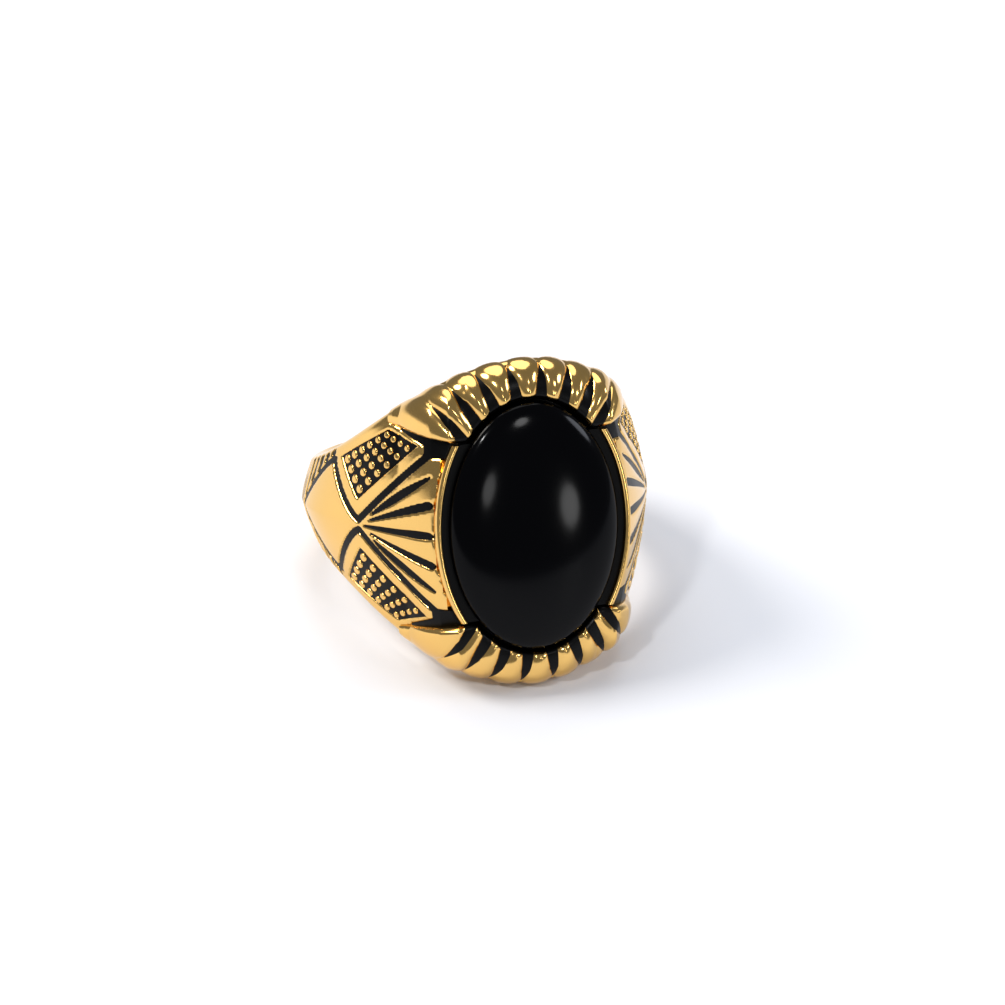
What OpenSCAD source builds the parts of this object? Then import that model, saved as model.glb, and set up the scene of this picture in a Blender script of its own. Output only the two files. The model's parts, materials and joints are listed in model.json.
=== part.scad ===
// Signet ring: polished gold-tone casting with an oval black cabochon, black-filled
// engraving on both shoulders and a ribbed collar over each end of the oval.
// Millimetres and degrees. The parts are drawn about the finger axis and then laid on
// the ring's side, as it rests on a table: the origin is the middle of the finger hole,
// +Z is up from the table, the stone looks towards -Y and is tipped up.

/* [Finger hole and band] */
// Diameter of the finger hole
bore_dia = 19.8; // [16:0.1:23]
// Thickness of the band at the back of the finger
back_thick = 1.6; // [1.2:0.05:2.6]
// Thickness of the band where the shoulders begin
side_thick = 2.1; // [1.6:0.05:3.2]
// Width of the band along the finger, at the back
band_width = 4.4; // [3.6:0.1:9]
// How far the band's outer face falls away from its middle to its edges
band_crown = 0.35; // [0:0.05:0.6]
// How far the shoulders' outer faces fall away from their middle to their edges
shoulder_crown = 1.2; // [0.4:0.05:1.4]
// Rounding of the band's outer edges
band_edge = 0.5; // [0.3:0.05:0.9]
// Clearance of the band's inner edges from square, per side
bore_flare = 0.3; // [0.1:0.05:0.6]

/* [Head] */
// Length of the head along the finger, over both collars
head_length = 22.4; // [19:0.2:28]
// Height of the flat seat of the head above the finger axis
deck_height = 12.5; // [11.5:0.1:15]
// How far round the ring the wide head reaches before it has tapered to the band
head_spread = 67; // [50:1:75]
// Inward slope of the head's end walls, from the edge to the finger hole
head_flare = 1.1; // [0.4:0.05:1.6]
// Height of the rounded fall at the ends of the head
head_round = 1.1; // [0.7:0.1:2]
// Length of the rounded fall at the ends of the head
head_round_long = 1.4; // [0.8:0.1:3]

/* [Stone and bezel] */
// Width of the oval stone, across the finger
stone_wide = 11.8; // [9:0.1:14]
// Length of the oval stone, along the finger
stone_long = 16.8; // [14:0.1:22]
// Straight height of the stone's girdle, above the seat
stone_girdle = 1.2; // [0.6:0.05:2]
// Height of the stone's dome above the girdle
stone_dome = 1.5; // [0.6:0.05:3]
// Gap between the stone's sides and the bezel rim, filled with black cement
stone_gap = 0.5; // [0.2:0.05:0.8]
// Gap between the stone's ends and the wall of its seat, below the collars
stone_end_gap = 0.9; // [0.4:0.05:1.2]
// Thickness of the bezel rim
rim_thick = 0.45; // [0.3:0.05:0.8]
// Height of the bezel rim above the head's seat
rim_proud = 0.5; // [0.3:0.05:1]
// Depth of the stone's seat below the top of the head
seat_depth = 1.0; // [0.6:0.05:1.4]
// Thickness of the cement under the stone
cement_thick = 0.15; // [0.05:0.05:0.3]
// How far the cement in the gap stays below the rim's top
cement_below = 0.3; // [0.1:0.05:0.4]

/* [Ribbed collars] */
// How far the collars stand above the head's seat
collar_proud = 0.8; // [0.4:0.05:1]
// Depth of a collar's foot in the head
collar_foot = 0.5; // [0.3:0.05:0.7]
// Angle round the ring of the blunt inner ends of the tongues
tongue_in = 20.5; // [17:0.5:23]
// Angle round the ring of the thin outer ends of the tongues
tongue_out = 46; // [38:1:52]
// Distance of a tongue's inner edge from the middle of the head, at its blunt end
tongue_z = 6.05; // [5:0.05:7]
// Slope of a tongue's inner edge, in mm a degree round the ring
tongue_slope = 0.034; // [0.01:0.002:0.06]
// How far a collar overhangs the head's end wall
collar_lip = 0.12; // [0.05:0.01:0.3]
// Clearance between a collar's inner wall and the stone
collar_gap = 0.12; // [0.08:0.01:0.3]
// Number of ribs on each side of a collar's middle rib
ribs_side = 3; // [2:1:4]
// Angle about the oval's end from the middle rib to the next
rib_pitch = 16.6; // [14:0.1:18]
// How much closer together the ribs come, each step away from the middle
rib_closing = 0.85; // [0:0.05:1.2]
// Width of a groove between ribs, at the stone
groove_wide = 0.85; // [0.5:0.05:1.1]
// Length of the middle grooves from the stone to their points
groove_long = 2.4; // [1.8:0.1:3]
// How much longer each further groove is
groove_growth = 0.35; // [0:0.05:0.6]
// How far the grooves spread, as a share of the turn of the stone's edge
groove_spread = 0.57; // [0.3:0.01:1]
// Depth of the grooves between ribs
groove_deep = 0.5; // [0.3:0.05:0.7]

/* [Shoulder engraving] */
// Depth of the engraving
engrave_deep = 0.4; // [0.25:0.05:0.6]
// How far the black enamel stays below the metal
enamel_low = 0.05; // [0.02:0.01:0.1]
// Angle round the ring of the two points where the chevron lines turn
chevron_at = 57.2; // [54:0.2:60]
// Half distance between those two points
chevron_neck = 0.33; // [0.25:0.01:0.6]
// Angle round the ring where the chevron lines meet the leaf's corners
leaf_corner_at = 74; // [71:0.5:77]
// Half height of the leaf at its corners
leaf_corner_z = 3.7; // [3:0.05:4]
// Angle round the ring of the leaf's outer point
leaf_tip_at = 95; // [90:0.5:100]
// Angle round the ring where the chevron lines end beside the head
chevron_end_at = 29.5; // [28.5:0.5:33]
// Height of the chevron lines' ends beside the head
chevron_end_z = 5.4; // [4.6:0.05:5.8]
// Width of the chevron lines
line_wide = 0.36; // [0.2:0.02:0.5]
// Width of the rays' broad ends
ray_wide = 0.42; // [0.25:0.01:0.6]
// Half height of the dotted panel's corner nearest the chevron's point
panel_low_z = 1.75; // [1.4:0.05:2.2]
// Half height of the dotted panel's corner nearest the band
panel_out_z = 4.2; // [3.6:0.05:4.4]
// Half height of the dotted panel's corner nearest the edge
panel_high_z = 6.5; // [5.8:0.05:6.6]
// Half height of the dotted panel's corner nearest the head
panel_in_z = 5.8; // [5.4:0.05:6]
// Rows of gold dots along the panel
dot_rows = 6; // [4:1:7]
// Rows of gold dots across the panel
dot_cols = 4; // [3:1:5]
// Diameter of a gold dot
dot_dia = 0.5; // [0.3:0.02:0.6]
// Width of the short lines at the band's edges
flute_wide = 0.3; // [0.15:0.01:0.4]
// Number of short lines on each edge of each shoulder
flutes = 6; // [3:1:7]
// Angle round the ring from one short line to the next
flute_pitch = 4.6; // [4:0.1:5.5]

/* [Hidden] */
$fn = 96;
bore_r = bore_dia / 2;
band_half = band_width / 2;
head_half = head_length / 2;
rim_a = stone_wide / 2 + stone_gap + rim_thick;
rim_b = stone_long / 2 + stone_end_gap + rim_thick;
deck_half = rim_a + 0.05;
deck_edge = atan(deck_half / deck_height);
side_at = 75;
crown_at = 65;
crown_ramp = 12;
crown_power = 1.3;
wedge_at = 40.4;
wedge_gap = 0.12;
groove_full = 0.72;
side_r = bore_r + side_thick;
back_r = bore_r + back_thick;
seat_y = deck_height - seat_depth;
skin = 0.6;

// ---- The casting's outer surface, by angle a round the ring and height z along the finger ----

// a falls from 1 at the head to 0 at the back
function head_share(a, reach) = exp(-pow(abs(a) / reach, 2));
function half_width(a) = band_half + (head_half - collar_lip - band_half) * head_share(a, head_spread);
function round_height(a) = band_edge + (head_round - band_edge) * head_share(a, 35);
function round_length(a) = band_edge + (head_round_long - band_edge) * head_share(a, 35);
function flare(a) = bore_flare + (head_flare - bore_flare) * head_share(a, 35);
function crown(a) = (band_crown + (shoulder_crown - band_crown) * head_share(abs(a) - crown_at, crown_at))
    * max(0, min(1, (abs(a) - deck_edge) / crown_ramp));
// The head's flat top ends at the oval rim, so at height z it ends at this angle
function deck_angle(z) = atan(deck_half * sqrt(max(0, 1 - pow(z / (rim_b + 0.3), 2))) / deck_height);
// From the oval's edge the shoulders fall to the band, and the band thins towards the back
function fall_r(a, z) = let (b = abs(a), e = deck_angle(z))
    b <= e ? deck_height / cos(b)
    : b <= side_at ? side_r + (deck_height / cos(e) - side_r) * pow((side_at - b) / (side_at - e), 2.1)
    : back_r + (side_r - back_r) * (1 + cos((b - side_at) * 180 / (180 - side_at))) / 2;
function face_r(a, z) = let (h = half_width(a), rl = round_length(a), f = h - rl, s = min(abs(z), h))
    fall_r(a, s) - crown(a) * pow(s / h, crown_power)
    - (s <= f ? 0 : round_height(a) * (1 - sqrt(max(0, 1 - pow((s - f) / rl, 2)))));
function polar(a, r, z) = [-r * sin(a), -r * cos(a), z];
function on_face(a, z, lift = 0) = polar(a, face_r(a, z) + lift, z);

// ---- How the ring rests on its side: head edge and back edge touch the table together ----

head_low = [for (p = collar_ring(0, 0, 0)) [p[1], -p[2]]];
back_low = [for (p = shank_section(180)) [p[1], -abs(p[2])]];
function lowest(pts, lean) = min([for (p = pts) p[1] * cos(lean) - p[0] * sin(lean)]);
function rest_lean(lo, hi, n) = let (mid = (lo + hi) / 2) n == 0 ? mid
    : lowest(head_low, mid) < lowest(back_low, mid) ? rest_lean(mid, hi, n - 1) : rest_lean(lo, mid, n - 1);
lean = rest_lean(0, 45, 24);
echo(lean = lean, table_z = lowest(head_low, lean));

module at_rest() rotate([-lean, 0, 0]) children();

// ---- Closed solids from rings of points ----

// Rings joined one after another; closed joins the last to the first, else both ends are capped
module ring_loft(rings, closed = false) {
    n = len(rings);
    m = len(rings[0]);
    last = closed ? n - 1 : n - 2;
    polyhedron(points = [for (r = rings) each r], faces = concat(
        [for (i = [0:last], j = [0:m - 1]) let (k = (j + 1) % m, i2 = (i + 1) % n)
            each [[i * m + j, i * m + k, i2 * m + j], [i * m + k, i2 * m + k, i2 * m + j]]],
        closed ? [] : [[for (j = [m - 1:-1:0]) j]],
        closed ? [] : [[for (j = [0:m - 1]) (n - 1) * m + j]]), convexity = 10);
}

// A line engraved in the face: a path of [angle, z] with its half width at each point
function across(path, i) = let (
    p = path[max(0, i - 1)], q = path[min(len(path) - 1, i + 1)],
    k = fall_r(path[i][0], 0) * PI / 180, d = [(q[0] - p[0]) * k, q[1] - p[1]], l = norm(d))
    [-d[1] / l / k, d[0] / l];
module engraved_line(path, half, low, lift) {
    ring_loft([for (i = [0:len(path) - 1]) let (n = across(path, i), w = max(half[i], 0.01),
        l = path[i] + n * w, r = path[i] - n * w)
        [on_face(l[0], l[1], lift), on_face(r[0], r[1], lift), on_face(r[0], r[1], low), on_face(l[0], l[1], low)]]);
}

// A patch of the face with four corners [angle, z], as a plate from low to lift
function blend(p, q, t) = p + (q - p) * t;
module engraved_patch(c, n, m, low, lift) {
    ring_loft([for (i = [0:n]) let (l = blend(c[0], c[1], i / n), r = blend(c[3], c[2], i / n)) concat(
        [for (j = [0:m]) let (p = blend(l, r, j / m)) on_face(p[0], p[1], low)],
        [for (j = [m:-1:0]) let (p = blend(l, r, j / m)) on_face(p[0], p[1], lift)])]);
}

// Depth range of the pattern: the cutter reaches clear of the metal, the enamel stops below it
function top_of(enamel) = enamel ? -enamel_low : skin;

module both_edges() {
    children();
    mirror([0, 0, 1]) children();
}
module right_side() mirror([1, 0, 0]) children();
module oval_plug(a, b, y0, y1) translate([0, -y0, 0]) rotate([90, 0, 0]) scale([a / b, 1, 1]) cylinder(r = b, h = y1 - y0);

// The same oval with flat sides: on the curve for what fills it, just outside it for cuts in the casting
function oval_points(a, b) = [for (t = [0:5:355]) [a * cos(t), b * sin(t)]];
module flat_oval(a, b, y0, y1) translate([0, -y0, 0]) rotate([90, 0, 0]) linear_extrude(y1 - y0)
    polygon(oval_points(a, b));
module oval_cut(a, b, y0, y1) flat_oval(a / cos(2.5), b / cos(2.5), y0, y1);
module between_tongues() intersection() {
    children();
    cube([head_length, 4 * deck_height, 2 * tongue_z - 0.04], center = true);
}

// ---- Collars ----

function collar_from(a) = let (x = deck_height * tan(abs(a)),
    e = 1 - pow(x / (stone_wide / 2 + collar_gap), 2), oval = (stone_long / 2 + collar_gap) * sqrt(max(0, e)))
    abs(a) <= tongue_in ? max(oval, tongue_z) : tongue_z + (abs(a) - tongue_in) * tongue_slope;
// The tongues are thickest near the stone and run out thin on the shoulders
function collar_rise(a) = collar_proud * min(1, 0.1 + (tongue_out - abs(a)) / (tongue_out - tongue_in));
function collar_ring(a, off, more) = let (h = half_width(a) + collar_lip, z0 = min(collar_from(a), h - 0.4),
    r0 = face_r(a, z0), r1 = min(face_r(a, h), r0 - 0.3), high = r0 + collar_rise(a) - r1 + off)
    concat([polar(a, r0 - collar_foot - more, z0 - more)],
        [for (t = [0:15:90]) polar(a, r1 + high * cos(t), z0 - (t == 0 ? more : 0) + (h - z0 + off) * sin(t))],
        [polar(a, r1 - collar_foot - more, h - 0.05 + off),
            polar(a, r1 - collar_foot - more, z0 + collar_step(z0, h) - more),
            polar(a, r0 - collar_foot - more, z0 + collar_step(z0, h) - more)]);
collar_steps = 22;
function collar_step(z0, h) = min(rim_b - stone_long / 2 + 0.05, (h - z0) / 2);
module collar_block(off = 0, more = 0) ring_loft([for (i = [0:collar_steps])
    collar_ring((tongue_out + more) * (1 - 2 * i / collar_steps), off, more)]);

function rib_at(k) = sign(k) * (abs(k) * rib_pitch - k * k * rib_closing);
function groove_side(long) = [for (p = [[-0.6, 1], [0.4, 1], [0.6 * long, groove_full], [long, 0.07]])
    [p[0], p[1] * groove_wide / 2]];
module groove_wedges() {
    for (i = [-ribs_side - 1:ribs_side]) let (t = rib_at(i + 0.5),
        x = stone_wide / 2 * sin(t), z = stone_long / 2 * cos(t),
        long = groove_long + groove_growth * (abs(i + 0.5) - 0.5),
        turn = groove_spread * atan2(sin(t) / stone_wide, cos(t) / stone_long))
        translate([x, -deck_height + head_round + collar_foot, z]) rotate([90, 0, 0]) rotate(90 - turn)
        linear_extrude(head_round + collar_foot + 3)
        polygon(concat([for (p = groove_side(long)) [p[0], -p[1]]], [for (i = [3:-1:0]) groove_side(long)[i]]));
}
module collar_metal() difference() {
    collar_block();
    difference() {
        groove_wedges();
        collar_block(-groove_deep, 0.3);
    }
}
module collar_enamel() difference() {
    intersection() {
        collar_block(-enamel_low);
        groove_wedges();
    }
    collar_block(-groove_deep, 0.3);
}

// ---- Shoulder engraving, drawn for the left shoulder's upper half ----

function chevron_out(t) = [chevron_at + (leaf_corner_at - chevron_at) * t,
    chevron_neck + (leaf_corner_z - chevron_neck) * pow(t, 1.35)];
function chevron_in(t) = [chevron_at + (chevron_end_at - chevron_at) * t,
    chevron_neck + (chevron_end_z - chevron_neck) * t];
function leaf_arc(a) = leaf_corner_z * (1 - pow(max(0, (a - leaf_corner_at) / (leaf_tip_at - leaf_corner_at)), 1.4));
module chevron_line(e) {
    p = concat([for (t = [1:-0.2:0.1]) chevron_out(t)], [chevron_out(0)], [for (t = [0.17:0.166:1]) chevron_in(t)]);
    engraved_line(p, [for (q = p) line_wide / 2], -engrave_deep, top_of(e));
}
// Rays from the chevron's neck to the head; k = 2 is the outer pair, 1 the next, 0 the middle ray
ray_from = [[54.5, 0], [52, 0.45], [51, 0.9]];
ray_to = [[30.2, 0], [30, 2.05], [29.5, 3.9]];
module ray(k, e) {
    n = 7;
    p = [for (i = [0:n]) blend(ray_from[k], ray_to[k], i / n)];
    w = [for (i = [0:n]) ray_wide / 2 * (k == 2 ? sin(180 * (0.04 + 0.92 * i / n)) : min(1, 0.12 + 1.1 * i / n))];
    engraved_line(p, w, -engrave_deep, top_of(e));
}
module left_rays(e) {
    both_edges() {
        chevron_line(e);
        ray(1, e);
        ray(2, e);
    }
    ray(0, e);
}

panel = [[58, panel_low_z], [69, panel_out_z], [46, panel_high_z], [34.2, panel_in_z]];
panel_turn = 52;
function panel_plan(q) = [-face_r(q[0], q[1]) * sin(q[0] - panel_turn), q[1]];
module panel_outline() difference() {
    polygon([for (q = panel) panel_plan(q)]);
    for (i = [0:dot_rows - 1], j = [0:dot_cols - 1]) let (u = (i + 0.5) / dot_rows, v = (j + 0.5) / dot_cols)
        translate(panel_plan(blend(blend(panel[0], panel[3], u), blend(panel[1], panel[2], u), v)))
        circle(d = dot_dia, $fn = 24);
}
module dot_panel(e) intersection() {
    rotate([0, 0, -panel_turn]) rotate([90, 0, 0]) linear_extrude(deck_height + 6) panel_outline();
    engraved_patch([[73, 1], [73, 7], [31, 7], [31, 1]], 9, 4, -engrave_deep, top_of(e));
}
module left_panels(e) both_edges() dot_panel(e);

module leaf_line(e) {
    p = [for (a = [leaf_corner_at - 0.4:(leaf_tip_at - leaf_corner_at) / 7:leaf_tip_at]) [a, leaf_arc(a) + 0.12]];
    engraved_line(p, [for (q = p) flute_wide / 2], -engrave_deep, top_of(e));
}
module flute(i, e) {
    a = leaf_corner_at + 2.2 + i * flute_pitch;
    z0 = leaf_arc(a) + 0.45;
    z1 = half_width(a) - band_edge * 0.8;
    p = [for (t = [0:0.25:1]) [a - t * 0.8, z0 + (z1 - z0) * t]];
    engraved_line(p, [0.04, flute_wide / 2, flute_wide / 2, flute_wide / 2, flute_wide / 2], -engrave_deep, top_of(e));
}
module left_flutes(e) both_edges() {
    leaf_line(e);
    for (i = [0:flutes - 1]) flute(i, e);
}

// The black pocket under each tongue, between the bezel rim and the chevron line's end, and a
// wedge beyond it that narrows between the dotted panel and the tongue
function under_tongue(a) = tongue_z + max(0, a - tongue_in) * tongue_slope;
pocket_end = chevron_end_at + 1.8;
wedge_in = pocket_end + 0.6;
module pocket_patch(e) {
    engraved_patch([[pocket_end, chevron_end_z - 0.2], [pocket_end, tongue_z + 0.85],
        [tongue_in - 1, tongue_z + 0.85], [tongue_in - 1, chevron_end_z - 0.2]], 5, 1, -engrave_deep, top_of(e));
    engraved_patch([[wedge_at, under_tongue(wedge_at) - 0.08], [wedge_at, under_tongue(wedge_at) + 0.4],
        [wedge_in, under_tongue(wedge_in) + 0.4], [wedge_in, panel_in_z + wedge_gap]], 3, 1, -engrave_deep, top_of(e));
}
module pocket(e) {
    if (e) difference() {
        pocket_patch(e);
        collar_block();
        oval_cut(rim_a, rim_b, 5, 20);
    }
    else pocket_patch(e);
}
module left_pockets(e) both_edges() pocket(e);

module engraving() {
    left_rays(false);
    left_panels(false);
    left_flutes(false);
    left_pockets(false);
}

// ---- The pieces ----

// Cast hoop, shoulders and head in one, with the seat, the collars' rebates and the engraving cut in
// Both halves of the ring take their shape from the angle off the head, whichever way round it is
function off_head(a) = a > 180 ? 360 - a : abs(a);
function shank_section(a) = let (b = off_head(a), h = half_width(b), rl = round_length(b), f = h - rl,
    z = concat([for (t = [0:5]) f * t / 5], [for (t = [22.5:22.5:90]) f + rl * sin(t)]),
    q = concat([for (s = z) [face_r(b, s), s]], [[bore_r - 0.4, h - flare(b)]]))
    concat([for (p = q) polar(a, p[0], -p[1])], [for (i = [len(q) - 1:-1:1]) polar(a, q[i][0], q[i][1])]);
function shank_angles() = concat(
    [for (i = [-5:5]) atan(i / 5 * deck_half / deck_height)],
    [for (i = [1:8]) deck_edge + (side_at - deck_edge) * i / 8],
    [for (i = [1:24]) side_at + (360 - 2 * side_at) * i / 24],
    [for (i = [7:-1:1]) 360 - deck_edge - (side_at - deck_edge) * i / 8]);
module shank() color("#e3c173") at_rest() difference() {
    ring_loft([for (a = shank_angles()) shank_section(a)], closed = true);
    cylinder(r = bore_r, h = head_length + 10, center = true);
    oval_cut(rim_a, rim_b, seat_y, deck_height + 6);
    both_edges() collar_block();
    engraving();
    right_side() engraving();
}

// Oval rim on both sides of the stone, from tongue to tongue
module bezel_rim() color("#f0d58c") at_rest() between_tongues() difference() {
    oval_plug(rim_a, rim_b, seat_y, deck_height + rim_proud);
    oval_plug(rim_a - rim_thick, rim_b - rim_thick, seat_y - 1, deck_height + rim_proud + 1);
}

// Oval cabochon, flat underneath, with a straight girdle and a domed top
module stone() color("#101012") at_rest() {
    base = seat_y + cement_thick;
    ring_loft([for (p = concat([[1, 0], [1, stone_girdle]], [for (t = [10:10:80])
            [cos(t), stone_girdle + stone_dome * sin(t)]], [[0.06, stone_girdle + stone_dome * 0.999]]))
        [for (q = oval_points(stone_wide / 2 * p[0], stone_long / 2 * p[0])) [q[0], -base - p[1], q[1]]]]);
}

// Black cement under the stone, round it below the collars and up the gap inside the rim
module stone_cement() color("#1d1a18") at_rest() difference() {
    union() {
        flat_oval(rim_a - rim_thick, rim_b - rim_thick, seat_y, deck_height - collar_foot - 0.05);
        between_tongues() flat_oval(rim_a - rim_thick, rim_b - rim_thick, seat_y, deck_height + rim_proud - cement_below);
    }
    flat_oval(stone_wide / 2, stone_long / 2, seat_y + cement_thick, deck_height + 5);
}

module upper_collar() color("#e9c97c") at_rest() collar_metal();
module lower_collar() color("#e9c97c") at_rest() mirror([0, 0, 1]) collar_metal();
module upper_collar_enamel() color("#0c0c0d") at_rest() collar_enamel();
module lower_collar_enamel() color("#0c0c0d") at_rest() mirror([0, 0, 1]) collar_enamel();
module left_ray_enamel() color("#0c0c0d") at_rest() left_rays(true);
module right_ray_enamel() color("#0c0c0d") at_rest() right_side() left_rays(true);
module left_dot_enamel() color("#0c0c0d") at_rest() left_panels(true);
module right_dot_enamel() color("#0c0c0d") at_rest() right_side() left_panels(true);
module left_flute_enamel() color("#0c0c0d") at_rest() left_flutes(true);
module right_flute_enamel() color("#0c0c0d") at_rest() right_side() left_flutes(true);
module left_pocket_enamel() color("#0c0c0d") at_rest() left_pockets(true);
module right_pocket_enamel() color("#0c0c0d") at_rest() right_side() left_pockets(true);

shank();
bezel_rim();
stone();
stone_cement();
upper_collar();
lower_collar();
upper_collar_enamel();
lower_collar_enamel();
left_ray_enamel();
right_ray_enamel();
left_dot_enamel();
right_dot_enamel();
left_flute_enamel();
right_flute_enamel();
left_pocket_enamel();
right_pocket_enamel();
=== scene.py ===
"""A polished gold-tone signet ring with an oval black cabochon, lying on its side.

The ring is shaped on a bench whose frame is in millimetres: Z runs along the finger, the
stone looks towards -Y, and angles go round the ring from the stone's middle. Each piece is
then laid down with the ring, in metres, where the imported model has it.
"""
import json
import logging
import math
from dataclasses import dataclass, field
from enum import Enum

import bpy
import numpy as np
from mathutils import Matrix, Vector


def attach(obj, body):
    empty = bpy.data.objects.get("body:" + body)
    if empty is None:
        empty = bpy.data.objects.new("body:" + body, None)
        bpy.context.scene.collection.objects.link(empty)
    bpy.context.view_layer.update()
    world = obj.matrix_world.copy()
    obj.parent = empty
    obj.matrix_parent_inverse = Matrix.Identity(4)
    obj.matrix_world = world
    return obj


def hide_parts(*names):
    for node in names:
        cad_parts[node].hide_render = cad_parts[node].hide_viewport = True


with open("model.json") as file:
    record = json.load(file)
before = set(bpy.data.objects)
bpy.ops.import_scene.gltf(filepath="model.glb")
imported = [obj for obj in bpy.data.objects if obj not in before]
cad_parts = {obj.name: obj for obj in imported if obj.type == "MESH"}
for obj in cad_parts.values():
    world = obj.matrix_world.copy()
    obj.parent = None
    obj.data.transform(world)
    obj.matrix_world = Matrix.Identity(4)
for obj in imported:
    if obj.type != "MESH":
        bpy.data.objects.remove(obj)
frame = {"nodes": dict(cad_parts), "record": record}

log = logging.getLogger("signet_ring")
MM = 0.001
FULL_TURN = 2 * math.pi
HALF_TURN = math.pi
# Radius that stock wire is bent to before it is pressed, and how close points are one point
WIRE_BEND = 10.0
SAME_POINT = 1e-5
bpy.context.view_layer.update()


# ---- Bench tools ----


def srgb(code: str) -> tuple[float, float, float, float]:
    """Turns a paint chip's hex colour into linear light.

    Args:
        code: Six hex digits, red, green and blue.

    Returns:
        Linear red, green and blue, and full opacity.
    """
    parts = [int(code[i : i + 2], 16) / 255 for i in (0, 2, 4)]
    linear = [c / 12.92 if c <= 0.04045 else ((c + 0.055) / 1.055) ** 2.4 for c in parts]
    return (linear[0], linear[1], linear[2], 1.0)


def smooth_step(low: float, high: float, value: np.ndarray) -> np.ndarray:
    """Eases from 0 at low to 1 at high.

    Args:
        low: Where the rise starts.
        high: Where the rise ends.
        value: The places to ease.

    Returns:
        The eased share at each place.
    """
    share = np.clip((value - low) / (high - low), 0.0, 1.0)
    return share * share * (3.0 - 2.0 * share)


def clear_bench() -> None:
    """Deselects everything, so that an operator acts on the new piece alone."""
    bpy.ops.object.select_all(action="DESELECT")


def pick(*pieces: bpy.types.Object) -> None:
    """Selects only these pieces and makes the first one active.

    Args:
        pieces: The pieces to pick up.
    """
    clear_bench()
    for piece in pieces:
        piece.select_set(True)
    bpy.context.view_layer.objects.active = pieces[0]


def places(piece: bpy.types.Object) -> np.ndarray:
    """Reads where a piece's vertices are.

    Args:
        piece: The piece to read.

    Returns:
        One row of x, y and z for each vertex.
    """
    flat = np.empty(len(piece.data.vertices) * 3)
    piece.data.vertices.foreach_get("co", flat)
    return flat.reshape(-1, 3)


def move_to(piece: bpy.types.Object, points: np.ndarray) -> None:
    """Puts a piece's vertices at new places.

    Args:
        piece: The piece to shape.
        points: One row of x, y and z for each vertex.
    """
    piece.data.vertices.foreach_set("co", points.ravel())
    piece.data.update()


def face_outwards(piece: bpy.types.Object) -> None:
    """Merges doubles and turns every face outwards.

    Args:
        piece: The piece to clean.
    """
    pick(piece)
    bpy.ops.object.mode_set(mode="EDIT")
    bpy.ops.mesh.select_all(action="SELECT")
    bpy.ops.mesh.remove_doubles(threshold=SAME_POINT)
    bpy.ops.mesh.normals_make_consistent(inside=False)
    bpy.ops.object.mode_set(mode="OBJECT")


def forged_hoop(name: str, rings: np.ndarray) -> bpy.types.Object:
    """Forges a closed hoop: a round wire hoop pressed to the given cross-sections.

    Args:
        name: The piece's name.
        rings: Cross-sections in order round the hoop, as [section, point, xyz].

    Returns:
        The hoop, closed on itself.
    """
    count, around = rings.shape[:2]
    clear_bench()
    bpy.ops.mesh.primitive_torus_add(
        major_segments=count, minor_segments=around, major_radius=WIRE_BEND, minor_radius=1.0
    )
    piece = bpy.context.object
    piece.name = name
    wire = places(piece)
    turn = np.arctan2(wire[:, 1], wire[:, 0])
    tilt = np.arctan2(wire[:, 2], np.hypot(wire[:, 0], wire[:, 1]) - WIRE_BEND)
    i = np.rint(turn / FULL_TURN * count).astype(int) % count
    j = np.rint(tilt / FULL_TURN * around).astype(int) % around
    move_to(piece, rings[i, j])
    face_outwards(piece)
    return piece


def forged_bar(name: str, rings: np.ndarray) -> bpy.types.Object:
    """Forges a bar with two ends: a disc spun into a bent bar, then pressed to the sections.

    Args:
        name: The piece's name.
        rings: Cross-sections in order along the bar, as [section, point, xyz].

    Returns:
        The bar, with flat ends.
    """
    count, around = rings.shape[:2]
    clear_bench()
    bpy.ops.mesh.primitive_circle_add(
        vertices=around, radius=1.0, fill_type="NGON",
        location=(WIRE_BEND, 0.0, 0.0), rotation=(math.pi / 2, 0.0, 0.0),
    )
    bpy.ops.object.transform_apply(location=True, rotation=True, scale=True)
    piece = bpy.context.object
    piece.name = name
    bpy.ops.object.mode_set(mode="EDIT")
    bpy.ops.mesh.select_all(action="SELECT")
    bpy.ops.mesh.spin(
        steps=count - 1, angle=HALF_TURN, center=(0.0, 0.0, 0.0), axis=(0.0, 0.0, 1.0)
    )
    bpy.ops.object.mode_set(mode="OBJECT")
    wire = places(piece)
    turn = np.abs(np.arctan2(wire[:, 1], wire[:, 0]))
    tilt = np.arctan2(wire[:, 2], np.hypot(wire[:, 0], wire[:, 1]) - WIRE_BEND)
    i = np.clip(np.rint(turn / HALF_TURN * (count - 1)).astype(int), 0, count - 1)
    j = np.rint((tilt - HALF_TURN / 2) / FULL_TURN * around).astype(int) % around
    move_to(piece, rings[i, j])
    face_outwards(piece)
    return piece


def joined(name: str, pieces: list[bpy.types.Object]) -> bpy.types.Object:
    """Joins loose pieces into one object.

    Args:
        name: The new object's name.
        pieces: The pieces to join.

    Returns:
        The one object.
    """
    pick(*pieces)
    if len(pieces) > 1:
        bpy.ops.object.join()
    whole = bpy.context.object
    whole.name = name
    return whole


class Cut(Enum):
    """How one solid works on another."""

    KEEP_COMMON = "INTERSECT"
    TAKE_AWAY = "DIFFERENCE"
    WELD = "UNION"


def work(piece: bpy.types.Object, tool: bpy.types.Object, cut: Cut) -> None:
    """Cuts or welds a piece with a tool, and puts the tool away.

    Args:
        piece: The piece that is worked on.
        tool: The solid that works on it.
        cut: What is kept.
    """
    pick(piece)
    saw = piece.modifiers.new("saw", "BOOLEAN")
    saw.operation = cut.value
    saw.solver = "MANIFOLD"
    saw.object = tool
    bpy.ops.object.modifier_apply(modifier=saw.name)
    bpy.data.objects.remove(tool, do_unlink=True)


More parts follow.
